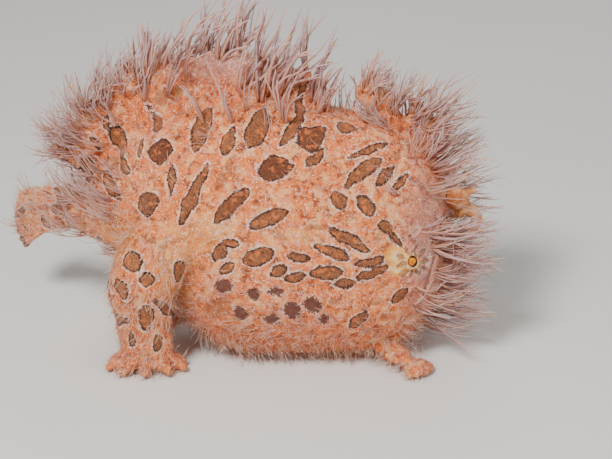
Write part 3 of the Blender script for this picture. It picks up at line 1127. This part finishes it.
def longWeights():
    # how thickly each group of long threads grows at each point of the skin
    x, y, z = skinPoints.T
    byLure = inZone(pixelsOf(skinPoints)[0], 440, 216, 28, 24) * (y < 4)
    bare = grows * (1 - 0.9 * nearEye) * (1 - 0.93 * byLure) * (0.15 + 0.85 * ease(0.2, 1.2, spotDistance))
    brow = ease(27, 38, x) * ease(48, 58, z) * (0.6 + 1.6 * ease(57, 62, z))
    rear = ease(27, 42, -x) * ease(13, 20, z) * (0.25 + 0.95 * ease(34, 50, z)) * (1 - 0.6 * ease(44, 52, -x))
    return dict(snout=bare * ((ease(38.5, 47, x) ** 1.5 + 0.16 * ease(33, 39, x)) * ease(2, 8, z) + brow),
                crown=bare * ease(57, 66, z) * ease(44, 36, x), rear=bare * rear * ~skinLimbs,
                under=bare * (ease(26, 14, z) * 0.5 + 0.6 * skinLimbs + 0.2) * ease(1.0, 3.0, z))


def growLong(label, weight, material):
    # the stems of a cluster share a stray of their own, and each has its sway; both bend the lie
    plan, group = longPlan, longPlan[label]
    steps, stray = plan["steps"], plan["stray"]
    roots, normals, limbs, values = sampleSkin(group["clusters"], weight)
    many = rng.integers(plan["each"][0], plan["each"][1] + 1, len(roots))
    which = np.repeat(np.arange(len(roots)), many)
    roots, normals, limbs = roots[which], normals[which], limbs[which]
    length, start, end = lieAt(roots, normals, limbs)
    sway, own = rng.normal(size=roots.shape), rng.normal(size=(group["clusters"], 3))[which]
    start = unit(normals * group["stand"] + start * 0.8 + own * stray + sway * stray)
    end = unit(end + normals * 0.1 + own * 0.22 + sway * 0.17)
    length = length * rng.uniform(*group["lengths"], len(roots))
    paths = curvedPaths(roots - normals * 0.3 + sway * 0.35, start, end, length, steps, wave=0.07)
    width = rng.uniform(*group["widths"], len(roots)) * (0.55 + 0.45 * np.clip(length / 15, 0, 1))
    # branches: from a point on the stem, along the stem and a little aside
    chosen = np.flatnonzero(rng.random(len(roots)) < plan["branches"])
    step = np.clip((rng.uniform(*plan["branchFrom"], len(chosen)) * steps).astype(int), 2, steps - 3)
    fork = paths[chosen, step]
    ahead = unit(paths[chosen, step + 1] - paths[chosen, step - 1])
    aside = rng.normal(size=fork.shape)
    left = length[chosen] * (1 - step / steps) * rng.uniform(0.6, 1.1, len(chosen))
    twigs = curvedPaths(fork - ahead * 0.1, unit(ahead + aside * 0.28), unit(end[chosen] + aside * 0.3), left,
                        steps, wave=0.04)
    which = np.concatenate((which, which[chosen]))
    values = {mark: numbers[which] for mark, numbers in values.items()}
    makeCoat(label + "_filaments", np.concatenate((paths, twigs)),
             np.concatenate((width, width[chosen] * plan["twigWidth"])),
             np.concatenate((normals, normals[chosen])) + 0.01, plan["sides"], values, material, 0.78)


longStuff = coatMaterial("long_translucent_filaments", 0.0, 0.9)
for label, weight in longWeights().items():
    growLong(label, weight, longStuff)


# Eyes: a clear wet bulge over a golden iris with a narrow dark pupil that points down
irisInks = inks(dict(gold="#B85C00", bright="#DC9800", rust="#9C2400", brown="#2A0802", pupil="#060204"))


def eyeMaterial():
    # gold streaks, rust and brown by the reach from the iris's middle, and the pupil by the reach from its slit
    made, tree, shader = startMaterial("golden_fish_eye")
    look = readMarks(tree, ("lookAcross", "lookUp", "lookReach"))
    colour = layered(tree, addNode(tree, "TexCoord", output="Object"), irisInks["gold"], (
        (irisInks["bright"], (0.35, 3.0, 0.5), 0.35, 0.7), (irisInks["rust"], look["lookReach"], 0.5, 1.1),
        (irisInks["brown"], look["lookUp"], 0.62, 1.0), (irisInks["brown"], look["lookReach"], 1.0, 1.22),
        (irisInks["pupil"], look["lookAcross"], 0.40, 0.26)))
    setInputs(tree, shader, {
        "Base Color": colour, "Roughness": 0.12, "IOR": 1.38, "Specular IOR Level": 0.25, "Coat Weight": 0.2,
        "Coat Roughness": 0.03, "Emission Color": colour, "Emission Strength": 0.12})
    return made


def makeEye(name, side, material, node):
    # a ball by turn and tilt, flattened to points at its poles, with the iris measured in the lids' frame
    turn, tilt = np.meshgrid(np.arange(48) * 2 * np.pi / 48, np.linspace(-np.pi / 2, np.pi / 2, 26)[1:-1])
    radius = eyePlan["radius"]
    local = xyz(np.cos(tilt) * np.cos(turn), np.cos(tilt) * np.sin(turn), np.sin(tilt)) * radius
    rings = local[..., :1] * lidAhead + local[..., 1:2] * lidUp + local[..., 2:] * lidOut
    points, faces = rolled(rings, -lidOut * radius, lidOut * radius)
    across, rise = ((points @ way - middle) / eyePlan["irisScale"]
                    for way, middle in zip((lidAhead, lidUp), eyePlan["centre"]))
    slit = np.hypot(across - 0.56 - 0.8 * (rise + 0.8), np.clip(np.abs(rise + 0.8) - 0.34, 0, None))
    values = dict(lookAcross=slit, lookUp=rise + 0.25 * across,
                  lookReach=np.hypot(across + 0.1, rise * 0.85 - 0.1))
    points = points * (1, -side, 1) + eyeAt * (1, side, 1)
    made = newPiece(name, points, faces[:, ::-1] if side > 0 else faces, material, values)
    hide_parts(node)


eyeStuff = eyeMaterial()
makeEye("eye_right", -1, eyeStuff, "eye_r")
makeEye("eye_left", 1, eyeStuff, "eye_l")
print("eyes made")


# Lure: a thin rod from the snout and a fleshy bait like a curled worm with a fat head. Paths with half widths
lurePlan = dict(rod=(((44.6, -1, 49), (48.2, -1.6, 49.4), (50.8, -2.2, 47), (50.8, -2.7, 42.4)),
                     (0.7, 0.55, 0.5, 0.45)),
                bait=((((48.9, -2.6, 42.6), (50.6, -2.8, 41.4), (52.0, -2.9, 39.6), (52.6, -2.9, 38.2)),
                       (1.9, 3.0, 2.9, 1.9)),
                      (((51.2, -3.0, 36.2), (53.0, -3.1, 38.0), (55.3, -3.1, 37.4), (56.5, -3.1, 35.0),
                        (55.1, -3.2, 33.4), (53.4, -3.2, 33.5)), (1.4, 1.6, 1.7, 1.6, 1.3, 0.7)),
                      (((52.0, -3.0, 41.2), (54.2, -3.6, 42.8), (56.2, -4.3, 43.6)), (1.4, 1.0, 0.5))),
                voxel=0.22, relax=5, wrinkles=((1.3, 5, 0.16), (0.6, 6, 0.07)))


def baitMaterial():
    # rubbery tan flesh with an orange blush and fine wet wrinkles
    made, tree, shader = startMaterial("fleshy_bait")
    place = addNode(tree, "TexCoord", output="Object")
    blotch, grain = (addNode(tree, "TexNoise", noiseAt(place, size, 3.0, 0.5)) for size in (2.2, 0.3))
    share = addNode(tree, "MapRange", {0: blotch, 1: 0.35, 2: 0.65})
    setInputs(tree, shader, {
        "Base Color": tinted(tree, linear("#C46A2C"), ((linear("#EDB47C"), share, 1.0),)),
        "Normal": addNode(tree, "Bump", {"Height": grain, "Strength": 0.5, "Distance": 0.0003}),
        "Roughness": 0.4, "Subsurface Weight": 0.35, "Subsurface Scale": 0.001})
    return made


def makeLure():
    # the rod wears the skin's stuff; the bait is three tubes melted into one, wrinkled by two noises
    path, half = lurePlan["rod"]
    points, faces = tube(path, half, half, (0, 1, 0), 16, 60)
    values = {label: np.full(len(points), farOff if label in ("spotDistance", "mouth") else 0.0)
              for label in skinValues}
    values["mauve"] += 1
    rod = newPiece("lure_rod_skin", points, faces, skinStuff, values)
    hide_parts("lure_rod")
    parts = [tube(path, half, np.array(half) * 0.95, (0, 1, 0), 40, 60) for path, half in lurePlan["bait"]]
    mesh = melted(parts, lurePlan["voxel"])
    points, faces, edges, normals = readMesh(mesh)
    bpy.data.meshes.remove(mesh)
    points = relaxed(points, edges, lurePlan["relax"])
    points = points + normals * sum(lattice(points, size, seed) * height
                                    for size, seed, height in lurePlan["wrinkles"])[:, None]
    bait = newPiece("lure_bait_worm", points, faces, baitMaterial())
    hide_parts("lure_bait")


makeLure()
print("lure made")


# Stage: a plain pale floor and soft studio light, the main one high in front on the left. Each lamp: its
# place, size and power
stagePlan = dict(floor="#E4E0DA", cloud="#E8E5E0", half=1.0, world=0.30, aim=(0.01, 0, 0.03),
                 lamps=dict(key=((-0.20, -0.42, 0.50), 0.14, 5.6), fill=((0.5, -0.35, 0.3), 0.35, 1.0),
                            back=((0.1, 0.5, 0.5), 0.4, 1.2)))


def makeStage():
    # the floor, the world's even light and the lamps, each turned to the aim
    made, tree, shader = startMaterial("matt_pale_board")
    place = addNode(tree, "TexCoord", output="Object")
    cloud = addNode(tree, "TexNoise", {"Vector": place, "Scale": 9.0, "Detail": 2.0})
    colour = tinted(tree, linear(stagePlan["floor"]), ((linear(stagePlan["cloud"]), cloud, 1.0),))
    setInputs(tree, shader, {"Base Color": colour, "Roughness": 0.8})
    half = stagePlan["half"]
    mesh = bpy.data.meshes.new("floor")
    corners = [(-half, -half, 0), (half, -half, 0), (half, half, 0), (-half, half, 0)]
    mesh.from_pydata(corners, [], [(0, 1, 2, 3)])
    mesh.materials.append(made)
    floor = addObject("floor", mesh)
    world = bpy.data.worlds.new("studio")
    world.use_nodes = True
    setInputs(world.node_tree, world.node_tree.nodes["Background"],
              {"Color": linear("#F2F2F4"), "Strength": stagePlan["world"]})
    bpy.context.scene.world = world
    for label, (spot, size, power) in stagePlan["lamps"].items():
        light = bpy.data.lights.new(label, "AREA")
        light.size = size
        light.energy = power
        addObject(label, light, spot, np.array(stagePlan["aim"]) - spot)


makeStage()
print("stage made")
